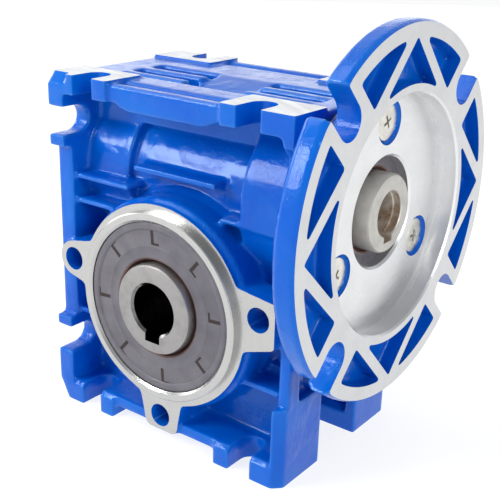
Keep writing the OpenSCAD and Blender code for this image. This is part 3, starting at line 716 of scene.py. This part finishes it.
def make_input_shaft():
    """The visible end of the worm shaft, and the worm itself behind it.

    The end is a new piece with a stepped mouth, and replaces the last length of the CAD shaft.
    """
    start = INPUT_END - 21.5
    mouth = INPUT_BORE_R + 0.35
    worm = copy_of_node("worm_shaft", "worm")
    looks = (INPUT_STEEL, INPUT_BORE)
    dress(worm, looks)
    for face in worm.data.polygons:
        face.material_index = 0
    carve(worm, block("cut", (start, -20, WORM_Z - 20), (INPUT_END + 5, 20, WORM_Z + 20), looks))
    shade(worm)
    stand_for(worm, "worm", "turned_steel", "worm_shaft")
    profile = [(INPUT_BORE_R, start), (INPUT_BORE_R, INPUT_END - 2.3), (mouth, INPUT_END - 2.1),
               (mouth, INPUT_END - 0.25), (INPUT_BORE_R + 0.6, INPUT_END),
               (INPUT_R - 1.0, INPUT_END), (INPUT_R - 0.4, INPUT_END - 0.2), (INPUT_R, INPUT_END - 0.9),
               (INPUT_R, start)]
    tip = lathe("input_shaft_end", profile, place("x", (0, 0, WORM_Z)), looks)
    cut_keyway(tip, INPUT_KEY, start - 1, INPUT_END + 1, WORM_Z, "x")
    paint_bore(tip, 0, WORM_Z, INPUT_BORE_R)
    shade(tip)
    stand_for(tip, "worm", "turned_steel", "worm_shaft")


# ---------------------------------------------------------------- seals

def seal_profile(bore, outer, depth):
    """Oil seal with its face at height 0: outer band, dished web, lip ring and the lip behind it."""
    web = -0.45
    return [(outer, -depth), (outer, -0.5), (outer - 0.2, -0.15), (outer - 0.6, 0), (outer - 1.7, 0),
            (outer - 2.0, -0.12), (outer - 2.3, web), (bore + 4.6, web), (bore + 4.35, web + 0.12),
            (bore + 4.1, web), (bore + 2.2, web), (bore + 1.7, web + 0.25), (bore + 1.3, web + 0.3),
            (bore + 0.85, web + 0.1), (bore + 0.6, -1.5), (bore + 0.15, -1.9), (bore + 0.7, -2.6),
            (bore + 0.05, -3.6), (bore + 1.1, -4.6), (bore + 1.5, -4.6), (bore + 1.5, -3.4),
            (bore + 2.6, -3.4), (bore + 2.6, -2.2), (outer - 1.2, -2.2), (outer - 1.2, -depth)]


def tick(angle, inner, length, width, foot, outward, side, where):
    """Small L-shaped mould mark on a seal's face: a radial arm with a thinner foot at one end."""
    half = width / 2
    thin = width * 0.6
    at = inner + length - thin if outward else inner
    low, high = sorted((side * half, side * (half + foot)))
    turn = where @ Matrix.Rotation(math.radians(angle), 4, "Z")
    arm = ((inner, -half), (inner + length, -half), (inner + length, half), (inner, half))
    toe = ((at, low), (at + thin, low), (at + thin, high), (at, high))
    return [prism("mark", shape, -0.75, -0.405, turn, (TICK_INK,)) for shape in (arm, toe)]


def shade_and_stain_lip(seal, reach, where):
    """Gives the inside of the lip a dark brown: painted shade in the gap against the shaft, in the brown of
    oil.
    """
    back = where.inverted()
    for face in seal.data.polygons:
        spot = back @ face.center / MM
        if math.hypot(spot[0], spot[1]) < reach:
            face.material_index = 1


def make_seal(name, node, bore, outer, where, ticks, lay):
    """Seal with tick marks; lay holds their distance from the bore, length, width and foot."""
    seal = lathe(name, seal_profile(bore, outer, 7), where, (GREY_RUBBER, LIP_RUBBER))
    shade_and_stain_lip(seal, bore + 1.1, where)
    shade(seal, 40)
    stand_for(seal, "gearcase", "grey_rubber", node)
    marks = []
    for angle, outward, side in ticks:
        marks += tick(angle, bore + lay[0], lay[1], lay[2], lay[3], outward, side, where)
    if marks:
        ink = joined(marks, name + "_marks")
        stand_for(ink, "gearcase", "grey_rubber", node)


def make_seals():
    """Three seals. Ticks are (angle, foot at the outer end, side of the foot)."""
    eight = [(95 - 45 * i, i > 3, -1 if i in (0, 1, 6, 7) else 1) for i in range(8)]
    three = [(70 - 100 * i, False, 1) for i in range(3)]
    near = place("-y", (0, -OUTPUT_SEAL_Y, 0))
    far = place("y", (0, OUTPUT_SEAL_Y, 0))
    inner = place("x", (INPUT_SEAL_X, 0, WORM_Z))
    large, small = (4.8, 4.2, 0.95, 1.7), (2.3, 1.1, 0.4, 0.7)
    make_seal("near_seal", "near_output_seal", OUTPUT_R, SEAT_R, near, eight, large)
    make_seal("far_seal", "far_output_seal", OUTPUT_R, SEAT_R, far, eight, large)
    make_seal("worm_seal", "input_seal", INPUT_R, INPUT_SEAL_R, inner, three, small)


# ---------------------------------------------------------------- screws and caps

def star_cutter(where, looks):
    """Cross recess of a countersunk screw: two tapered wings."""
    reach, half = 1.9, 0.36
    wings = []
    for angle in (0, 90):
        outline = ((-reach, -half), (reach, -half), (reach, half), (-reach, half))
        turn = where @ Matrix.Rotation(math.radians(angle), 4, "Z")
        wings.append(prism("cut", outline, -1.9, 0.5, turn, looks, 1, 0.55))
    carve(wings[0], wings[1], "UNION")
    return wings[0]


def make_flange_screws():
    """Three screws just below the recess floor; each cross has come to rest at its own angle."""
    head, shank = 4.7, 2.45
    profile = ((0, -12.8), (shank, -12.8), (shank, -3), (head - 0.1, -0.75), (head, -0.5),
               (head - 0.15, -0.15), (head - 0.5, -0.05), (2.4, 0.0), (0, 0.0))
    looks = (NICKEL, BORE)
    screws = []
    for number, angle in enumerate(SCREW_ANGLES):
        where = place("x", around_x(angle, SCREW_R, FLOOR_X - SCREW_DROP))
        stop = math.radians(25 + 31 * number)
        where = where @ Matrix.Rotation(stop, 4, "Z")
        screw = lathe("screw", profile, where, looks, steps=64)
        carve(screw, star_cutter(where, looks))
        for face in screw.data.polygons:
            face.material_index = 0
        screws.append(screw)
    screws = joined(screws, "flange_countersunk_screws")
    shade(screws, 35)
    stand_for(screws, "gearcase", "zinc_steel", "flange_screws")


def make_cover_screws():
    """Four hexagon socket screws; their heads stand on the cover's plate."""
    depth = SPIGOT_Y - 6.5
    profile = ((0, -9.8), (2, -9.8), (2, 0), (3.5, 0), (3.5, 3.6), (3.1, 4.0), (0, 4.0))
    turns = [math.radians(60 * i) for i in range(6)]
    socket = [(1.95 * math.cos(turn), 1.95 * math.sin(turn)) for turn in turns]
    looks = (NICKEL, BORE)
    screws = []
    for angle in COVER_SCREW_ANGLES:
        x, _, z = around_y(angle, COVER_SCREW_R)
        where = place("y", (x, depth, z))
        screw = lathe("screw", profile, where, looks, steps=64)
        # The hex sockets take the dark bore material: painted shade.
        carve(screw, prism("cut", socket, 1.8, 5, where, looks, 1))
        screws.append(screw)
    screws = joined(screws, "cover_socket_screws")
    shade(screws, 35)
    stand_for(screws, "gearcase", "zinc_steel", "cover_screws")


def make_rear_cap():
    """Pressed rubber cap with a raised rim."""
    low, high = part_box("rear_cap")
    face, back = -low[0] / MM, -high[0] / MM
    profile = ((0, back), (15.9, back), (16.0, back + 0.4), (16.0, face - 0.5), (15.5, face), (13.6, face),
               (13.2, face - 0.2), (12.9, face - 0.9), (12.4, face - 1.0), (0, face - 1.0))
    cap = lathe("rear_cap_moulding", profile, place("-x", (0, 0, WORM_Z)), (BLACK_RUBBER,))
    shade(cap)
    stand_for(cap, "gearcase", "black_rubber", "rear_cap")


def dress_cad_nodes():
    """Materials of the CAD nodes whose shapes stay as they are."""
    looks = {"cage": BRASS, "race": BEARING, "balls": BEARING, "rim": BRONZE, "shims": NICKEL,
             "springs": NICKEL, "circlip": BEARING, "gasket": FIBRE, "o_ring": BLACK_RUBBER}
    for node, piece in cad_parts.items():
        for ending, look in looks.items():
            if node.endswith(ending):
                dress(piece, (look,))


# ---------------------------------------------------------------- stage

def make_stage():
    """Pale floor, soft lights and a plain surround that is bright near the horizon."""
    floor_look = Look("pale_floor", (0.3, 0.3, 0.3), 0.8)
    floor_look.color(floor_look.ramp(floor_look.noise(90, 2), (0.29, 0.29, 0.29), (0.31, 0.31, 0.31)))
    floor_look.set("Specular IOR Level", 0.0)
    floor_look.set("Emission Color", (1.0, 1.0, 1.0, 1.0))
    floor_look.set("Emission Strength", 0.8)
    mesh = bmesh.new()
    reach = 9.0
    level = (FOOT_Z - 0.2) * MM
    corners = ((-reach, -reach), (reach, -reach), (reach, reach), (-reach, reach))
    mesh.faces.new([mesh.verts.new((x, y, level)) for x, y in corners])
    data = bpy.data.meshes.new("floor")
    mesh.to_mesh(data)
    mesh.free()
    floor = piece_from(data, "floor")
    dress(floor, (floor_look.material,))

    world = bpy.data.worlds.new("surround")
    world.use_nodes = True
    nodes, links = world.node_tree.nodes, world.node_tree.links
    nodes["Background"].inputs["Color"].default_value = (0.95, 0.97, 1.0, 1.0)
    height = nodes.new("ShaderNodeSeparateXYZ")
    links.new(nodes.new("ShaderNodeTexCoord").outputs["Generated"], height.inputs["Vector"])
    dim = nodes.new("ShaderNodeMapRange")
    for socket, number in (("From Min", 0.15), ("From Max", 0.45), ("To Min", 1.06), ("To Max", 0.42)):
        dim.inputs[socket].default_value = number
    links.new(height.outputs["Z"], dim.inputs["Value"])
    links.new(dim.outputs["Result"], nodes["Background"].inputs["Strength"])
    bpy.context.scene.world = world
    bpy.context.scene.view_settings.view_transform = "Standard"

    # Area lights: name, place in metres, side in metres, watts.
    target = Vector((0.01, 0, 0.01))
    for name, spot, size, power in (
        ("key", (-0.48, -0.62, 0.46), 0.32, 4.8),
        ("fill", (0.75, -0.30, 0.40), 0.30, 2.4),
        ("top", (-0.45, -0.15, 0.85), 0.6, 2.8),
        ("back", (-0.60, 0.80, 0.48), 1.1, 1.8),
        ("left", (-0.8, -0.05, 0.25), 0.25, 1.2),
    ):
        light = bpy.data.lights.new(name, "AREA")
        light.shape = "SQUARE"
        light.size = size
        light.energy = power
        lamp = bpy.data.objects.new(name, light)
        lamp.location = spot
        lamp.rotation_euler = (target - Vector(spot)).to_track_quat("-Z", "Y").to_euler()
        bpy.context.scene.collection.objects.link(lamp)


def make_camera():
    """Camera at the picture's angle: yaw and pitch round the object, with a slight roll."""
    yaw, pitch, roll = (math.radians(a) for a in (36.24, 20.39, 1.77))
    back = Vector((math.sin(yaw) * math.cos(pitch), -math.cos(yaw) * math.cos(pitch), math.sin(pitch)))
    right = (-back).cross(Vector((0, 0, 1))).normalized()
    up = right.cross(-back)
    side = right * math.cos(roll) + up * math.sin(roll)
    head = up * math.cos(roll) - right * math.sin(roll)
    data = bpy.data.cameras.new("camera")
    data.sensor_width = 36.0
    data.lens = 67.3
    data.clip_start = 0.01
    camera = bpy.data.objects.new("camera", data)
    turn = Matrix((side, head, back)).transposed().to_4x4()
    camera.matrix_world = Matrix.Translation(Vector((0.15198, -0.19588, 0.10051))) @ turn
    bpy.context.scene.collection.objects.link(camera)
    bpy.context.scene.camera = camera


make_casting()
make_far_cover()
make_motor_flange()
make_output_shaft()
make_input_shaft()
make_seals()
make_flange_screws()
make_cover_screws()
make_rear_cap()
dress_cad_nodes()
make_stage()
make_camera()
